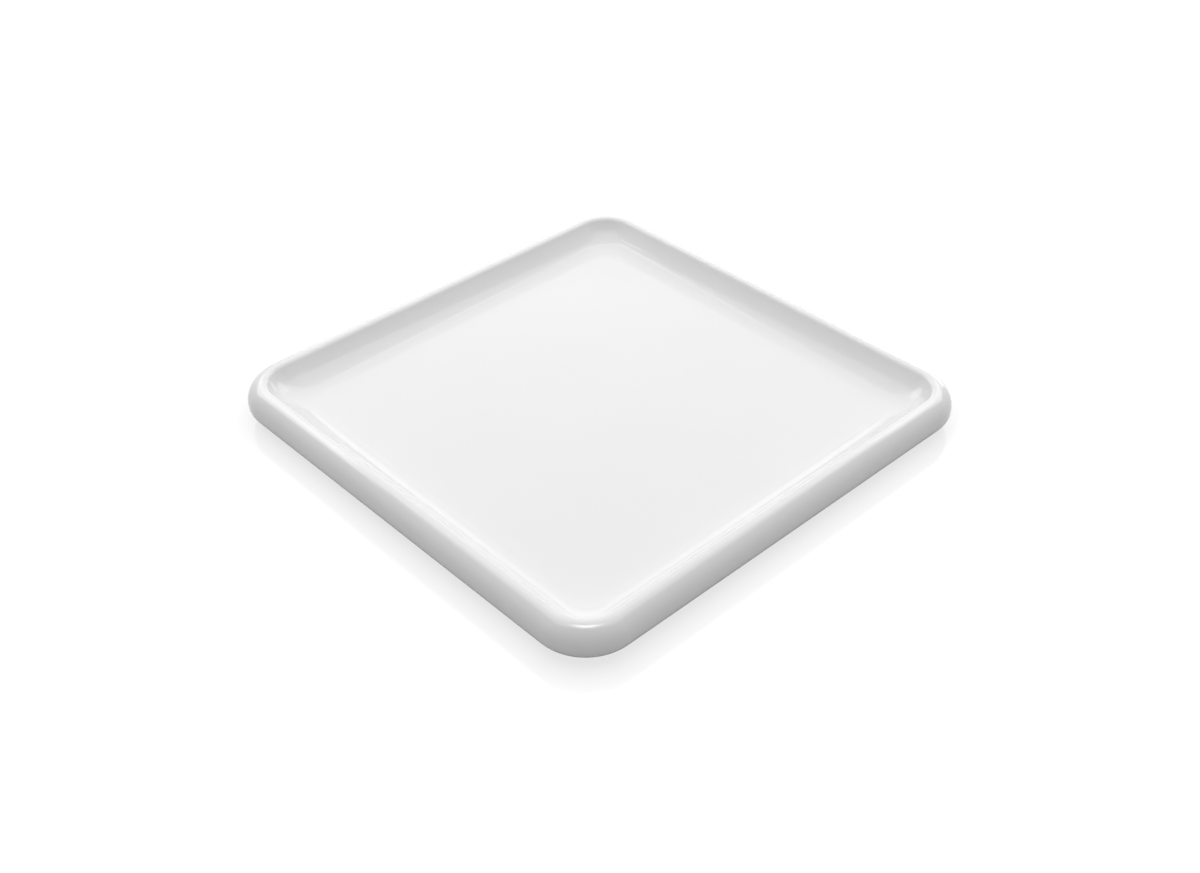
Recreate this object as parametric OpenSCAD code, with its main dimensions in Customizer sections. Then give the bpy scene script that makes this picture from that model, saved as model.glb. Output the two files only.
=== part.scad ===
/* [Plan] */
// Outside width of the square plate, measured over its glaze
plate_side = 260; // [220:1:340]
// Plan radius of the flat floor at its corners; the rim turns round it
floor_corner_r = 2; // [1:0.5:30]

/* [Rim section] */
// Radius of the heel, where the outer wall turns under the plate
heel_r = 7; // [3:0.1:9]
// Height of the narrow upright band between the heel and the roll
band_h = 0.3; // [0.2:0.1:12]
// Radius of the broad outer roll
roll_r = 10.2; // [8.5:0.1:14]
// Angle that the broad roll turns through before the crest takes over
roll_turn = 54; // [40:1:70]
// Radius of the tighter arc over the crest
crest_r = 7; // [4:0.1:8]
// Radius of the inner shoulder, where the crest drops into the well
shoulder_r = 3; // [1.5:0.1:5]
// Slope of the inner wall, up from the horizontal
wall_slope = 61; // [48:1:75]
// Radius of the cove between the inner wall and the floor
cove_r = 12; // [6:0.5:15]

/* [Floor] */
// Thickness of the floor over both glazes
floor_t = 4.2; // [3:0.1:7]

/* [Foot ring] */
// Height of the glazed underside above the table
foot_h = 3.3; // [3:0.1:8]
// Distance from the side of the plate to the outer bare face of the foot
foot_inset = 34; // [30:1:60]
// Plan radius of that face at the corners of the foot
foot_corner_r = 14; // [9:1:30]
// Width of the foot between its two bare faces
foot_w = 5; // [4:0.1:7]
// Rounding at both edges of the resting face
foot_edge_r = 1; // [0.3:0.1:1.6]
// Fillet between the foot and the underside
foot_root_r = 1.5; // [0.6:0.1:2]

/* [Glaze] */
// Thickness of the fused glaze
glaze_t = 0.3; // [0.15:0.05:0.5]
// Height of the bare band above the foot's rounded edge, wiped clean before firing
bare_band = 0.4; // [0.2:0.1:1]

/* [Hidden] */
$fn = 96;
// Furthest that a facet of a section arc may lie from the true arc
arc_sag = 0.015;
// Overlap of two parts of one piece that grow into each other
lap = 2;

// Corner axes stand at round hundredths, so that sides meet corners exactly
function settle(v) = round(100 * v) / 100;

half = plate_side / 2;

// Heights, from the table up
bare_top = foot_edge_r + bare_band;
under_z = foot_h + glaze_t;
floor_z = foot_h + floor_t;
heel_z = foot_h + heel_r;
roll_z = heel_z + band_h;
crest_z = roll_z + (roll_r - crest_r) * sin(roll_turn);
plate_h = crest_z + crest_r;
well_depth = plate_h - floor_z;

// Insets from the side of the plate. The inner wall is the common tangent
// of the shoulder and the cove
crest_in = roll_r - (roll_r - crest_r) * cos(roll_turn);
wall_run = ((shoulder_r + cove_r) * (1 - cos(wall_slope)) + well_depth * cos(wall_slope)) / sin(wall_slope);
cove_in = crest_in + wall_run;

// The rim turns each corner about an upright axis just inside the cove, and
// the foot about one of its own; each radius runs from axis to outer face
rim_at = settle(half - cove_in - floor_corner_r);
rim_r = half - rim_at;
foot_at = settle(half - foot_inset - foot_corner_r);
foot_out = half - foot_inset - foot_at;
foot_in = foot_out - foot_w;

// Points along an arc whose radius is drawn larger by grow, with as many
// facets as the radius itself needs
function arc(c, r, grow, from, to) =
    let (n = ceil(abs(to - from) / (2 * acos(1 - arc_sag / r))))
    [for (i = [0 : n]) let (a = from + (to - from) * i / n) c + (r + grow) * [cos(a), sin(a)]];

function after_first(path) = [for (i = [1 : len(path) - 1]) path[i]];
function reversed(path) = [for (i = [len(path) - 1 : -1 : 0]) path[i]];

// Path of the rim from the underside round to the floor, as [distance out
// from the corner axis, height], with every face drawn back by skin
function rim_path(skin) = concat(
    [[0, foot_h + skin]],
    arc([rim_r - heel_r, heel_z], heel_r, -skin, -90, 0),
    arc([rim_r - roll_r, roll_z], roll_r, -skin, 0, roll_turn),
    after_first(arc([rim_r - crest_in, crest_z], crest_r, -skin, roll_turn, 90)),
    after_first(arc([rim_r - crest_in, plate_h - shoulder_r], shoulder_r, -skin, 90, 90 + wall_slope)),
    arc([rim_r - cove_in, floor_z + cove_r], cove_r, skin, wall_slope - 90, -90),
    [[0, floor_z - skin]]
);

// Face of the foot and the fillet above it, from the height low upwards.
// The face stands at x and looks to side, and cover lies over it
function foot_side(x, side, low, cover) = concat(
    [[x + side * cover, low]],
    [for (p = arc([-foot_root_r, under_z - foot_root_r], foot_root_r, -cover, 0, 90)) [x - side * p[0], p[1]]]
);

// Foot section over its rounded edges and up its fillets, rooted in the floor
function foot_path() = concat(
    [[foot_in - foot_root_r, under_z + lap]],
    reversed(foot_side(foot_in, -1, foot_edge_r, 0)),
    after_first(arc([foot_in + foot_edge_r, foot_edge_r], foot_edge_r, 0, 180, 270)),
    arc([foot_out - foot_edge_r, foot_edge_r], foot_edge_r, 0, -90, 0),
    after_first(foot_side(foot_out, 1, foot_edge_r, 0)),
    [[foot_out + foot_root_r, under_z + lap]]
);

// Glaze on one side of the foot, run on along the underside as far as x_end
function foot_glaze_path(x, side, x_end) = concat(
    foot_side(x, side, bare_top, 0),
    [[x_end, under_z], [x_end, foot_h]],
    reversed(foot_side(x, side, bare_top, glaze_t))
);

// Carries a section round a square with round corners. The section's x runs
// outwards from the corner axes, which stand at the distance at
module carry_round(at) {
    for (turn = [0 : 90 : 270])
        rotate([0, 0, turn]) {
            translate([at, at, 0])
                rotate([90, 0, 0])
                    linear_extrude(height = 2 * at) children();
            translate([at, at, 0])
                rotate_extrude(angle = 90) children();
        }
}

// Level sheet over the square that the corner axes mark out
module sheet(at, low, high) {
    translate([-at, -at, low])
        cube([2 * at, 2 * at, high - low]);
}

module rounded_sheet(at, r, low, high) {
    translate([0, 0, low])
        linear_extrude(height = high - low)
            union() {
                square([2 * (at + r), 2 * at], center = true);
                square([2 * at, 2 * (at + r)], center = true);
                for (x = [-at, at], y = [-at, at])
                    translate([x, y]) circle(r = r);
            }
}

module porcelain_body() {
    color("linen")
        union() {
            carry_round(rim_at) polygon(rim_path(glaze_t));
            sheet(rim_at, under_z, floor_z - glaze_t);
            carry_round(foot_at) polygon(foot_path());
        }
}

// One unbroken skin: well, rim, outer wall and underside as far as the foot
module glaze_coat() {
    color("white")
        union() {
            carry_round(rim_at)
                polygon(concat(rim_path(0), reversed(rim_path(glaze_t))));
            sheet(rim_at, floor_z - glaze_t, floor_z);
            difference() {
                sheet(rim_at, foot_h, under_z);
                rounded_sheet(foot_at, foot_out + foot_root_r + lap / 2, foot_h - lap, under_z + lap);
            }
            carry_round(foot_at)
                polygon(foot_glaze_path(foot_out, 1, foot_out + foot_root_r + lap));
        }
}

// The panel of glaze inside the foot ring
module underside_glaze() {
    color("whitesmoke")
        union() {
            carry_round(foot_at)
                polygon(foot_glaze_path(foot_in, -1, 0));
            sheet(foot_at, foot_h, under_z);
        }
}

porcelain_body();
glaze_coat();
underside_glaze();
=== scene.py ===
import math

import bpy
import numpy as np
from mathutils import Matrix, Vector


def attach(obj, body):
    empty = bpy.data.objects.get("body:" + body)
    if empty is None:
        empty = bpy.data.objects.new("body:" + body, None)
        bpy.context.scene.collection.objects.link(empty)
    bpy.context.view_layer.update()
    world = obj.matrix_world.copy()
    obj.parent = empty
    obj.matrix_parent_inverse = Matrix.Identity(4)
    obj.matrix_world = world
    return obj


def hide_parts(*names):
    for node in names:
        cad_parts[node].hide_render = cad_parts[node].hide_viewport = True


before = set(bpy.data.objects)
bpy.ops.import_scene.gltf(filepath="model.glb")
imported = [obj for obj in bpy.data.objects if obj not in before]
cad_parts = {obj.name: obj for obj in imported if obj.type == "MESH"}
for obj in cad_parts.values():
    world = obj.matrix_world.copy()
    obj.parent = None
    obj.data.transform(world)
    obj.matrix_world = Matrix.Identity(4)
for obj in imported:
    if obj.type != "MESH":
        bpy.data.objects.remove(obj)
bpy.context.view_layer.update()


# The porcelain body. One piece of white clay, pressed to shape and fired, with
# the floor, the solid rolled rim and the foot ring in one. Glaze covers it all
# over, except on the foot, which is wiped clean so that it can't stick in the kiln.
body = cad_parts["porcelain_body"]
CLAY_SHADE, CLAY_LIGHT = (0.74, 0.725, 0.69, 1), (0.83, 0.82, 0.79, 1)
IRON_BROWN = (0.36, 0.31, 0.26, 1)
GRAIN_DEPTH = 0.00008


def node_adder(tree):
    """A helper that adds one node to the tree, with its settings and with values for its inputs by name."""

    def add(kind, settings=None, **inputs):
        node = tree.nodes.new(kind)
        for key, value in (settings or {}).items():
            setattr(node, key, value)
        for key, value in inputs.items():
            node.inputs[key.replace("_", " ")].default_value = value
        return node

    return add


def new_material(name):
    """An empty node material, its node tree and the tree's node adder."""
    material = bpy.data.materials.new(name)
    material.use_nodes = True
    tree = material.node_tree
    tree.nodes.clear()
    return material, tree, node_adder(tree)


bare_porcelain, tree, add = new_material("bare_porcelain")
link = tree.links.new
# Fired clay: a fine sandy grain, soft clouds where the kiln coloured it, and
# a few tiny dark specks of iron
place = add("ShaderNodeTexCoord")
grain = add("ShaderNodeTexNoise", Scale=2600.0, Detail=3.0, Roughness=0.6)
clouds = add("ShaderNodeTexNoise", Scale=70.0, Detail=4.0, Roughness=0.55)
specks = add("ShaderNodeTexVoronoi", Scale=420.0)
for texture in (grain, clouds, specks):
    link(place.outputs["Object"], texture.inputs["Vector"])
cloud_tone = add("ShaderNodeValToRGB")
shade, light = cloud_tone.color_ramp.elements
shade.position, shade.color = 0.35, CLAY_SHADE
light.position, light.color = 0.65, CLAY_LIGHT
link(clouds.outputs["Fac"], cloud_tone.inputs["Fac"])
speck_mask = add("ShaderNodeMapRange", From_Min=0.05, From_Max=0.11, To_Min=0.35, To_Max=0.0)
link(specks.outputs["Distance"], speck_mask.inputs["Value"])
clay_colour = add("ShaderNodeMix", {"data_type": "RGBA"}, B=IRON_BROWN)
link(speck_mask.outputs["Result"], clay_colour.inputs["Factor"])
link(cloud_tone.outputs["Color"], clay_colour.inputs["A"])
clay_rough = add("ShaderNodeMapRange", From_Min=0.3, From_Max=0.7, To_Min=0.72, To_Max=0.9)
link(clouds.outputs["Fac"], clay_rough.inputs["Value"])
clay_bump = add("ShaderNodeBump", Strength=0.35, Distance=GRAIN_DEPTH)
link(grain.outputs["Fac"], clay_bump.inputs["Height"])
clay = add("ShaderNodeBsdfPrincipled", IOR=1.5)
link(clay_colour.outputs["Result"], clay.inputs["Base Color"])
link(clay_rough.outputs["Result"], clay.inputs["Roughness"])
link(clay_bump.outputs["Normal"], clay.inputs["Normal"])
link(clay.outputs["BSDF"], add("ShaderNodeOutputMaterial").inputs["Surface"])

body.data.materials.clear()
body.data.materials.append(bare_porcelain)


# The glaze coat. White glossy glaze, poured over the well, the rim, the outer
# wall and the underside as far as the foot, and melted on in the second firing.

# Half the plate's width, the glaze's thickness, and the heights of the glazed
# underside and floor above the table
HALF = 0.130
GLAZE = 0.0003
UNDER_Z, FLOOR_Z = 0.0033, 0.0075
# How far the rim's corner axes stand from the centre in X and in Y, the rim's
# section from the heel up and over into the well, with its angles in degrees,
# and the plan radius of the well's corners at the floor
RIM_AXIS = 0.10381
HEEL_R, BAND_H = 0.007, 0.0003
ROLL_R, ROLL_TURN = 0.0102, 54.0
CREST_R, SHOULDER_R = 0.007, 0.0027
WALL_SLOPE, COVE_R = 64.0, 0.0195
WELL_CORNER_R = 0.020
# How far the foot's corner axes stand from the centre, the plan radii of its
# two faces, the fillet above it, and the height at which its glaze starts
FOOT_AXIS, FOOT_OUT, FOOT_IN = 0.082, 0.014, 0.009
FOOT_ROOT_R, FOOT_BARE_TOP = 0.0015, 0.0014
# How finely the skins are divided: degrees to a step of a section arc, and
# steps along the wall, the glaze's lip, a corner, a side and a level panel
ARC_STEP = 2.5
WALL_STEPS, LIP_STEPS = 4, 4
CORNER_STEPS, SIDE_STEPS, PANEL_STEPS = 32, 24, 18
# Depth of the ripple that the glaze sets with
RIPPLE_DEPTH = 0.00004


def arc(centre, radius, start, end):
    """Points of a circle about centre, from the angle start to the angle end in degrees, as rows of [x, z]."""
    steps = max(3, math.ceil(abs(end - start) / ARC_STEP))
    angle = np.radians(np.linspace(start, end, steps + 1))
    return np.array(centre) + radius * np.column_stack((np.cos(angle), np.sin(angle)))


def between(first, last, steps):
    """Evenly spaced points strictly between two section points."""
    share = np.linspace(0, 1, steps + 1)[1:-1, None]
    return (1 - share) * np.array(first) + share * np.array(last)


def turned_about(axis, points):
    """Rows of [half width, height, distance of the corner axis] for points that turn about one corner axis."""
    return np.column_stack((points, np.full(len(points), axis)))


def rim_section(skin):
    """The rim's outline from the floor's edge over the crest and down to the underside, drawn back by skin.

    Five arcs that run smoothly on from one another: cove, shoulder, crest, broad roll and heel. The inner
    wall is the common tangent of cove and shoulder. A row is [half width of the plan, height, distance of the
    corner axis from the centre]. The axis stays put outside and over the crest, and moves inwards down the
    well with the square of the way to the floor, so that the well's corner opens out.
    """
    heel_z = UNDER_Z + HEEL_R
    roll_z = heel_z + BAND_H
    turn, slope = math.radians(ROLL_TURN), math.radians(WALL_SLOPE)
    crest_z = roll_z + (ROLL_R - CREST_R) * math.sin(turn)
    crest_x = HALF - (ROLL_R - (ROLL_R - CREST_R) * math.cos(turn))
    depth = crest_z + CREST_R - FLOOR_Z
    wall_run = ((SHOULDER_R + COVE_R) * (1 - math.cos(slope)) + depth * math.cos(slope)) / math.sin(slope)
    cove_x = crest_x - wall_run
    shoulder = arc((crest_x, crest_z + CREST_R - SHOULDER_R), SHOULDER_R - skin, 90 + WALL_SLOPE, 90)
    cove = arc((cove_x, FLOOR_Z + COVE_R), COVE_R + skin, -90, WALL_SLOPE - 90)
    well = np.concatenate((cove, between(cove[-1], shoulder[0], WALL_STEPS)))
    down = (shoulder[0, 0] - well[:, 0]) / (shoulder[0, 0] - cove_x)
    inwards = cove_x - WELL_CORNER_R - RIM_AXIS
    well = np.column_stack((well, RIM_AXIS + inwards * down ** 2))
    outside = np.concatenate((
        shoulder,
        arc((crest_x, crest_z), CREST_R - skin, 90, ROLL_TURN)[1:],
        arc((HALF - ROLL_R, roll_z), ROLL_R - skin, ROLL_TURN, 0)[1:],
        arc((HALF - HEEL_R, heel_z), HEEL_R - skin, 0, -90),
    ))
    return np.concatenate((well, turned_about(RIM_AXIS, outside)))


def foot_side(face_r, side, skin):
    """The foot's upright face and the fillet above it, from the fillet's top down to the bare band.

    face_r is the face's plan radius, and side is 1 for the outer face and -1 for the inner one. The glaze
    lies skin thick over the clay.
    """
    clay_z = UNDER_Z + GLAZE
    fillet = arc((-FOOT_ROOT_R, clay_z - FOOT_ROOT_R), FOOT_ROOT_R - skin, 90, 0)
    fillet[:, 0] = FOOT_AXIS + face_r - side * fillet[:, 0]
    foot = [[FOOT_AXIS + face_r + side * skin, FOOT_BARE_TOP + (GLAZE if skin else 0)]]
    return turned_about(FOOT_AXIS, np.concatenate((fillet, foot)))


def glaze_lip(face_r, side):
    """The rounded edge where the glaze ends on the foot: a quarter turn from its face in to the clay."""
    angle = np.radians(np.linspace(0, 90, LIP_STEPS + 1))[1:-1]
    return turned_about(FOOT_AXIS, np.column_stack((
        FOOT_AXIS + face_r + side * GLAZE * np.cos(angle),
        FOOT_BARE_TOP + GLAZE * (1 - np.sin(angle)),
    )))


def columns():
    """The plan of a square with round corners, as each column's base and the way that it points outwards.

    A corner's columns share one base at (1, 1) and turn through a right angle. A side's columns have bases in
    even steps from one corner's to the next, and all point square to that side.
    """
    turn = np.linspace(0, math.pi / 2, CORNER_STEPS + 1)
    run = np.linspace(0, 1, SIDE_STEPS + 1)[1:-1]
    base = np.concatenate((
        np.ones((CORNER_STEPS + 1, 2)),
        np.column_stack((1 - 2 * run, np.ones(len(run)))),
    ))
    out = np.concatenate((
        np.column_stack((np.cos(turn), np.sin(turn))),
        np.tile([0.0, 1.0], (len(run), 1)),
    ))
    quarter = np.array([[0.0, 1.0], [-1.0, 0.0]])
    bases, outs = [base], [out]
    for _ in range(3):
        bases.append(bases[-1] @ quarter)
        outs.append(outs[-1] @ quarter)
    return np.concatenate(bases), np.concatenate(outs)


def ring_rows(section):
    """A section carried round the plan, one ring of points for each of its rows.

    A point is its column's base times the corner axis's distance, plus the plan radius there times the
    column's outward direction.
    """
    base, out = columns()
    axis = section[:, 2, None, None]
    plan = base[None] * axis + (section[:, 0, None, None] - axis) * out[None]
    height = np.broadcast_to(section[:, 1, None, None], plan.shape[:2] + (1,))
    return np.concatenate((plan, height), axis=2)


def panel_rows(edge):
    """Level rings that shrink the ring edge towards the plate's centre in even steps, without the centre."""
    share = np.linspace(1, 0, PANEL_STEPS + 1)[1:-1, None, None]
    rows = edge[None] * share
    rows[..., 2] = edge[None, :, 2]
    return rows


def new_object(name, points, faces):
    """A mesh object of these points and faces, in the scene at the origin."""
    mesh = bpy.data.meshes.new(name)
    mesh.from_pydata(points, [], faces)
    made = bpy.data.objects.new(name, mesh)
    bpy.context.scene.collection.objects.link(made)
    return made


def closed_shell(name, section):
    """A closed skin: a section carried round the plan, with a level panel across each end of it.

    Neighbouring rings and columns make four-sided faces, and a fan closes each panel at the plate's centre.
    """
    rings = ring_rows(section)
    rings = np.concatenate((panel_rows(rings[0])[::-1], rings, panel_rows(rings[-1])))
    count, around = rings.shape[:2]
    poles = np.array([[0, 0, rings[0, 0, 2]], [0, 0, rings[-1, 0, 2]]])
    points = np.concatenate((rings.reshape(-1, 3), poles))
    here = np.arange(around)
    following = np.roll(here, -1)
    start = (np.arange(count - 1) * around)[:, None]
    quads = np.stack((
        start + here, start + around + here, start + around + following, start + following,
    ), axis=2)
    first_pole, last_pole = count * around, count * around + 1
    last = (count - 1) * around
    fans = np.concatenate((
        np.column_stack((np.full(around, first_pole), here, following)),
        np.column_stack((np.full(around, last_pole), last + following, last + here)),
    ))
    shell = new_object(name, points.tolist(), quads.reshape(-1, 4).tolist() + fans.tolist())
    shell.data.shade_smooth()
    return shell


glaze_coat = closed_shell("glaze_skin", np.concatenate((
    rim_section(0),
    foot_side(FOOT_OUT, 1, GLAZE),
    glaze_lip(FOOT_OUT, 1),
    foot_side(FOOT_OUT, 1, 0)[::-1],
    rim_section(GLAZE)[::-1],
)))


def glaze_effect():
    """Node group for glaze: soft drifts of tone and polish, and the faint ripple that glaze sets with."""
    group = bpy.data.node_groups.new("glaze_effect", "ShaderNodeTree")
    for name, kind, value in (
        ("Colour", "NodeSocketColor", (0.85, 0.85, 0.85, 1)),
        ("Thick Colour", "NodeSocketColor", (0.83, 0.83, 0.83, 1)),
        ("Drift Scale", "NodeSocketFloat", 20.0),
        ("Ripple Scale", "NodeSocketFloat", 160.0),
        ("Smoothest", "NodeSocketFloat", 0.04),
        ("Dullest", "NodeSocketFloat", 0.09),
    ):
        group.interface.new_socket(name=name, in_out="INPUT", socket_type=kind).default_value = value
    for name, kind in (
        ("Colour", "NodeSocketColor"), ("Roughness", "NodeSocketFloat"), ("Ripple", "NodeSocketFloat"),
    ):
        group.interface.new_socket(name=name, in_out="OUTPUT", socket_type=kind)
    add, join = node_adder(group), group.links.new
    given, made = add("NodeGroupInput"), add("NodeGroupOutput")
    where = add("ShaderNodeTexCoord")
    drift = add("ShaderNodeTexNoise", Detail=2.0)
    ripple = add("ShaderNodeTexNoise", Detail=1.0, Roughness=0.35)
    for texture, scale in ((drift, "Drift Scale"), (ripple, "Ripple Scale")):
        join(where.outputs["Object"], texture.inputs["Vector"])
        join(given.outputs[scale], texture.inputs["Scale"])
    tone = add("ShaderNodeMix", {"data_type": "RGBA"})
    join(drift.outputs["Fac"], tone.inputs["Factor"])
    join(given.outputs["Colour"], tone.inputs["A"])
    join(given.outputs["Thick Colour"], tone.inputs["B"])
    polish = add("ShaderNodeMapRange", From_Min=0.3, From_Max=0.7)
    join(drift.outputs["Fac"], polish.inputs["Value"])
    join(given.outputs["Smoothest"], polish.inputs["To Min"])
    join(given.outputs["Dullest"], polish.inputs["To Max"])
    join(tone.outputs["Result"], made.inputs["Colour"])
    join(polish.outputs["Result"], made.inputs["Roughness"])
    join(ripple.outputs["Fac"], made.inputs["Ripple"])
    return group


glaze_group = glaze_effect()


def glaze_material(name, **values):
    """White glaze whose effect group gets the given values."""
    material, tree, add = new_material(name)
    effect = add("ShaderNodeGroup", {"node_tree": glaze_group}, **values)
    bump = add("ShaderNodeBump", Strength=0.25, Distance=RIPPLE_DEPTH)
    surface = add("ShaderNodeBsdfPrincipled", IOR=1.6)
    tree.links.new(effect.outputs["Colour"], surface.inputs["Base Color"])
    tree.links.new(effect.outputs["Roughness"], surface.inputs["Roughness"])
    tree.links.new(effect.outputs["Ripple"], bump.inputs["Height"])
    tree.links.new(bump.outputs["Normal"], surface.inputs["Normal"])
    tree.links.new(surface.outputs["BSDF"], add("ShaderNodeOutputMaterial").inputs["Surface"])
    return material


glaze_coat.data.materials.append(glaze_material("glossy_glaze"))
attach(glaze_coat, "root")
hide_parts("glaze_coat")


# The underside glaze. The panel of the same glaze inside the foot ring, cut off
# from the coat by the bare foot, and a little duller because it faced the kiln shelf.
DULL_GLAZE = 0.16
underside_panel = closed_shell("underside_glaze_panel", np.concatenate((
    foot_side(FOOT_IN, -1, 0),
    glaze_lip(FOOT_IN, -1)[::-1],
    foot_side(FOOT_IN, -1, GLAZE)[::-1],
)))
underside_panel.data.materials.append(glaze_material("underside_glaze_finish", Dullest=DULL_GLAZE))
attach(underside_panel, "root")
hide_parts("underside_glaze")


# The tabletop. A plain pale board, faintly glossy, so that the plate's shadow and
# its dim mirror image lie beside it. Away from the plate it fades to plain white.
TABLE_HALF = 2.5
BOARD_TONE, WHITE = (0.5, 0.5, 0.5, 1), (1, 1, 1, 1)
# Refractive index of the board's gloss; where the fade starts and ends, outwards
# from the plate's side; and how white the eye sees the board where it starts
GLOSS_INDEX = 1.33
FADE_FROM, FADE_TO = -0.004, 0.0125
WHITE_BESIDE_PLATE = 0.77
ends = (-TABLE_HALF, TABLE_HALF)
tabletop = new_object("tabletop", [(x, y, 0.0) for y in ends for x in ends], [(0, 1, 3, 2)])


def white_to_the_eye(tree):
    """1 for rays from the camera and for mirrored or refracted ones, 0 for the rays that carry light about."""
    add = node_adder(tree)
    ray = add("ShaderNodeLightPath")
    seen = ray.outputs["Is Camera Ray"]
    for kind in ("Is Glossy Ray", "Is Transmission Ray"):
        either = add("ShaderNodeMath", {"operation": "MAXIMUM"})
        tree.links.new(seen, either.inputs[0])
        tree.links.new(ray.outputs[kind], either.inputs[1])
        seen = either.outputs["Value"]
    return seen


board, tree, add = new_material("white_board")
link = tree.links.new
place = add("ShaderNodeTexCoord")
# Distance outwards from the square that the rim's corner axes mark out
reach = place.outputs["Object"]
for operation, operand in (
    ("MULTIPLY", (1, 1, 0)),
    ("ABSOLUTE", (0, 0, 0)),
    ("SUBTRACT", (RIM_AXIS, RIM_AXIS, 0)),
    ("MAXIMUM", (0, 0, 0)),
    ("LENGTH", (0, 0, 0)),
):
    step = add("ShaderNodeVectorMath", {"operation": operation})
    step.inputs[1].default_value = operand
    link(reach, step.inputs[0])
    reach = step.outputs["Value" if operation == "LENGTH" else "Vector"]
rim_r = HALF - RIM_AXIS
fade = add("ShaderNodeMapRange", From_Min=rim_r + FADE_FROM, From_Max=rim_r + FADE_TO, To_Max=1.0)
link(reach, fade.inputs["Value"])
# Right beside the plate the board is nearly white to the eye, and dark to the glaze
nearest = add("ShaderNodeMath", {"operation": "MULTIPLY"})
nearest.inputs[1].default_value = WHITE_BESIDE_PLATE
link(add("ShaderNodeLightPath").outputs["Is Camera Ray"], nearest.inputs[0])
link(nearest.outputs["Value"], fade.inputs["To Min"])
# The whiteness and the gloss show to the eye and in the glaze, and light nothing
seen = white_to_the_eye(tree)
fade_seen = add("ShaderNodeMath", {"operation": "MULTIPLY"})
link(fade.outputs["Result"], fade_seen.inputs[0])
link(seen, fade_seen.inputs[1])
gloss_seen = add("ShaderNodeMath", {"operation": "MULTIPLY"})
link(add("ShaderNodeFresnel", IOR=GLOSS_INDEX).outputs["Fac"], gloss_seen.inputs[0])
link(seen, gloss_seen.inputs[1])
grain = add("ShaderNodeTexNoise", Scale=90.0, Detail=3.0)
link(place.outputs["Object"], grain.inputs["Vector"])
board_rough = add("ShaderNodeMapRange", To_Min=0.03, To_Max=0.06)
link(grain.outputs["Fac"], board_rough.inputs["Value"])
gloss = add("ShaderNodeBsdfGlossy", Color=WHITE)
link(board_rough.outputs["Result"], gloss.inputs["Roughness"])
board_mix, board_gloss = add("ShaderNodeMixShader"), add("ShaderNodeMixShader")
link(fade_seen.outputs["Value"], board_mix.inputs["Fac"])
link(add("ShaderNodeBsdfDiffuse", Color=BOARD_TONE).outputs["BSDF"], board_mix.inputs[1])
link(add("ShaderNodeEmission", Color=WHITE, Strength=1.0).outputs["Emission"], board_mix.inputs[2])
link(gloss_seen.outputs["Value"], board_gloss.inputs["Fac"])
link(board_mix.outputs["Shader"], board_gloss.inputs[1])
link(gloss.outputs["BSDF"], board_gloss.inputs[2])
link(board_gloss.outputs["Shader"], add("ShaderNodeOutputMaterial").inputs["Surface"])
tabletop.data.materials.append(board)


# The studio. Soft boxes above, behind and to the sides of the plate, a plain white
# room to the eye and to the glaze, and a little even light from all round.

# Brightness of that even light, and the way to the studio's back in degrees from +X
FILL = 0.39
BACK_AZIMUTH = 47.7
scene = bpy.context.scene
scene.view_settings.view_transform = "Standard"
world = bpy.data.worlds.new("studio")
world.use_nodes = True
tree = world.node_tree
tree.nodes.clear()
add = node_adder(tree)
link = tree.links.new
room_level = add("ShaderNodeMapRange", To_Min=FILL, To_Max=1.0)
link(white_to_the_eye(tree), room_level.inputs["Value"])
room = add("ShaderNodeBackground", Color=WHITE)
link(room_level.outputs["Result"], room.inputs["Strength"])
link(room.outputs["Background"], add("ShaderNodeOutputWorld").inputs["Surface"])
scene.world = world

# A soft box: metres behind the plate's centre, to its left and up; width, height and
# brightness of its face; whether it hangs level, or else is aimed at the plate; and
# whether it shows only as a reflection. The level ones lap over one another, and at
# one and the same height they would hide each other's reflections
SOFT_BOXES = {
    "overhead": (0.10, 0, 1.2, 1.9, 1.2, 0.98, True, False),
    "back_left": (0.90, 0.93, 0.94, 1.0, 0.6, 1.90, False, False),
    "back_right": (0.90, -0.93, 0.94, 1.0, 0.6, 1.74, False, False),
    "back": (1.18, 0, 0.92, 1.3, 0.5, 0.94, False, False),
    "back_low": (1.26, 0, 0.31, 1.1, 0.55, 0.86, False, False),
    "back_right_low": (0.99, -0.65, 0.19, 0.45, 0.4, 1.5, False, False),
    "crest_glint": (-0.31, 0, 1.18, 1.2, 0.5, 0.266, True, True),
    "back_glint": (0.85, 0, 1.19, 2.0, 0.5, 1.3, True, True),
}
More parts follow.
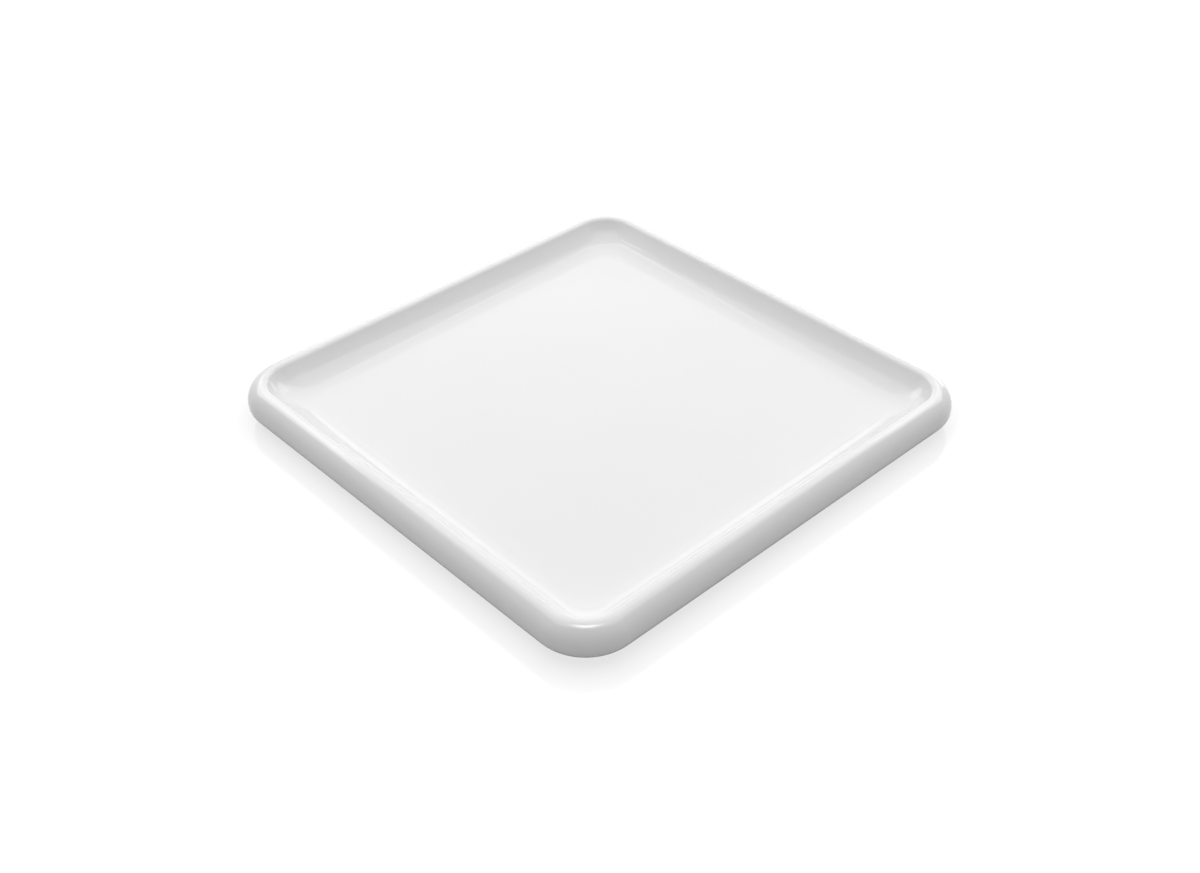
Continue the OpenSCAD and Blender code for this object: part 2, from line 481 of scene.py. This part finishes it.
# Honeycomb grid on one of them, as the angle that its light spreads to in degrees.
# It keeps that light off the well's far corner
GRIDS = {"crest_glint": 35}
back = np.array([math.cos(math.radians(BACK_AZIMUTH)), math.sin(math.radians(BACK_AZIMUTH))])
left = np.array([-back[1], back[0]])
for name, (behind, leftward, height, wide, tall, brightness, level, glint) in SOFT_BOXES.items():
    box = bpy.data.lights.new(name, "AREA")
    box.shape = "RECTANGLE"
    box.size, box.size_y = wide, tall
    box.energy = brightness * math.pi * wide * tall
    if name in GRIDS:
        box.spread = math.radians(GRIDS[name])
    lamp = bpy.data.objects.new(name, box)
    lamp.location = (*(behind * back + leftward * left), height)
    if level:
        lamp.rotation_euler = (0, 0, math.radians(BACK_AZIMUTH - 90))
    else:
        lamp.rotation_euler = Vector(lamp.location).to_track_quat("Z", "Y").to_euler()
    lamp.visible_camera = False
    lamp.visible_diffuse = not glint
    scene.collection.objects.link(lamp)


# The camera. It stands off the front corner, 0.74 m from the plate's centre and
# 0.44 m up, where the plate's outline and its mirror image fit the photograph.
SENSOR_WIDTH = 36.0
# Focal length in widths of the picture, and the turns of the camera in degrees
FOCAL_LENGTH = 1493.98 / 1200
YAW, PITCH, ROLL = 42.843, 37.494, -0.638
# The plate's centre as the camera has it: to the right, down and away, in plate widths
CENTRE_FROM_CAMERA = (-0.0041482, -0.0400187, 2.8561613)
camera_data = bpy.data.cameras.new("camera")
camera_data.sensor_fit = "HORIZONTAL"
camera_data.sensor_width = SENSOR_WIDTH
camera_data.lens = SENSOR_WIDTH * FOCAL_LENGTH
camera_data.clip_start, camera_data.clip_end = 0.01, 20.0
camera = bpy.data.objects.new("camera", camera_data)
yaw, pitch, roll = math.radians(YAW), math.radians(PITCH), math.radians(ROLL)
turned = np.array([[math.cos(yaw), -math.sin(yaw), 0], [math.sin(yaw), math.cos(yaw), 0], [0, 0, 1]])
level_right, level_up = np.array([1.0, 0, 0]), np.array([0, math.sin(pitch), math.cos(pitch)])
right = (math.cos(roll) * level_right + math.sin(roll) * level_up) @ turned
up = (-math.sin(roll) * level_right + math.cos(roll) * level_up) @ turned
forward = np.array([0, math.cos(pitch), -math.sin(pitch)]) @ turned
offset = 2 * HALF * np.array(CENTRE_FROM_CAMERA)
stand = -(offset[0] * right - offset[1] * up + offset[2] * forward)
camera.matrix_world = Matrix([
    [right[0], up[0], -forward[0], stand[0]],
    [right[1], up[1], -forward[1], stand[1]],
    [right[2], up[2], -forward[2], stand[2]],
    [0, 0, 0, 1],
])
scene.collection.objects.link(camera)
scene.camera = camera
